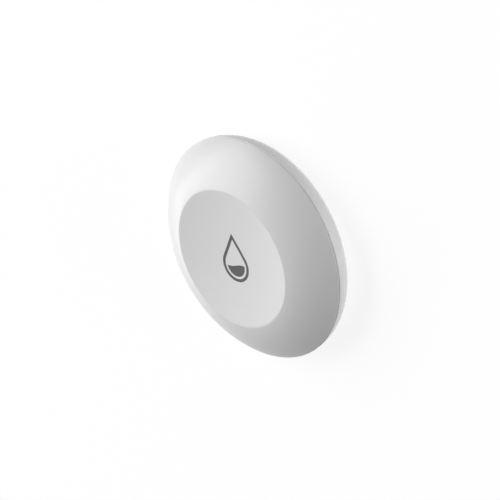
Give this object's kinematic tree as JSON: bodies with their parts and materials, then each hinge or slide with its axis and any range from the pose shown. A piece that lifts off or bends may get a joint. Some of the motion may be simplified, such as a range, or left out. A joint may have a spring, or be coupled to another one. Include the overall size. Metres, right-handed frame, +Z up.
{
  "type": "water leak sensor",
  "caption": "Round puck sensor with a domed cover, a dished press button marked with a drop, probes and feet under a rounded base, and a turn-off battery door.",
  "frame": {"origin": "on the floor under the centre of the puck, at the underside of its feet", "axes": "+Z up along the puck's axis through the button, +Y towards the tip of the drop mark"},
  "size_m": [0.054, 0.054, 0.013],
  "materials": {
    "cover_plastic": "fine spark-eroded matte white ABS",
    "button_plastic": "fine matte white ABS, slightly translucent",
    "base_plastic": "satin white ABS",
    "mark_grey": "dark grey moulded inlay",
    "foot_silicone": "matte silicone",
    "membrane_silicone": "translucent silicone",
    "seal_rubber": "black nitrile rubber",
    "pad_foam": "closed-cell foam",
    "probe_steel": "turned stainless steel",
    "fastener_steel": "zinc-plated steel",
    "cell_steel": "brushed nickel-plated steel",
    "shield_metal": "tinned steel",
    "contact_metal": "gold-plated spring bronze",
    "board_laminate": "green solder mask on glass laminate",
    "module_laminate": "blue solder mask on glass laminate",
    "chip_epoxy": "black moulded epoxy",
    "white_ceramic": "fired ceramic",
    "led_resin": "clear resin",
    "capacitor_ceramic": "fired ceramic",
    "plunger_plastic": "moulded nylon"
  },
  "bodies": {
    "housing": {"rear_base": "base_plastic", "front_cover": "cover_plastic", "case_seal": "seal_rubber", "foot_pads": "foot_silicone", "probe_studs": "probe_steel", "probe_seals": "seal_rubber", "probe_nuts": "fastener_steel", "probe_springs": "contact_metal", "circuit_board": "board_laminate", "board_screws": "fastener_steel", "coin_cell": "cell_steel", "positive_contact": "contact_metal", "negative_contact": "contact_metal", "module_board": "module_laminate", "module_shield": "shield_metal", "radio_chip": "chip_epoxy", "chip_antenna": "white_ceramic", "status_led": "led_resin", "chip_parts": "capacitor_ceramic", "switch_body": "chip_epoxy", "switch_cover": "shield_metal", "switch_dome": "shield_metal", "clamp_ring": "base_plastic", "button_membrane": "membrane_silicone"},
    "button": {"button_cap": "button_plastic", "drop_mark": "mark_grey"},
    "plunger": {"switch_plunger": "plunger_plastic"},
    "seal_carrier": {"door_seal": "seal_rubber"},
    "door": {"battery_door": "base_plastic", "cell_pad": "pad_foam"}
  },
  "joints": [
    {"name": "button_press", "type": "slide", "parent": "housing", "child": "button", "axis": [0, 0, -1], "range_m": [0, 0.00025], "stiffness_N_per_m": 4000, "springref_m": -0.0003, "deforming": ["button_membrane"]},
    {"name": "plunger_press", "type": "slide", "parent": "housing", "child": "plunger", "axis": [0, 0, -1], "range_m": [0, 0.00025], "deforming": ["switch_dome"]},
    {"name": "door_lift", "type": "slide", "parent": "housing", "child": "seal_carrier", "axis": [0, 0, -1], "range_m": [0, 0.0025]},
    {"name": "door_turn", "type": "hinge", "parent": "seal_carrier", "child": "door", "pos_m": [0, 0, 0], "axis": [0, 0, -1], "range_deg": [0, 60]}
  ],
  "couplings": [
    {"joint": "plunger_press", "follows": "button_press", "ratio": 1},
    {"joint": "door_turn", "follows": "door_lift", "rad_per_m": 418.88}
  ]
}
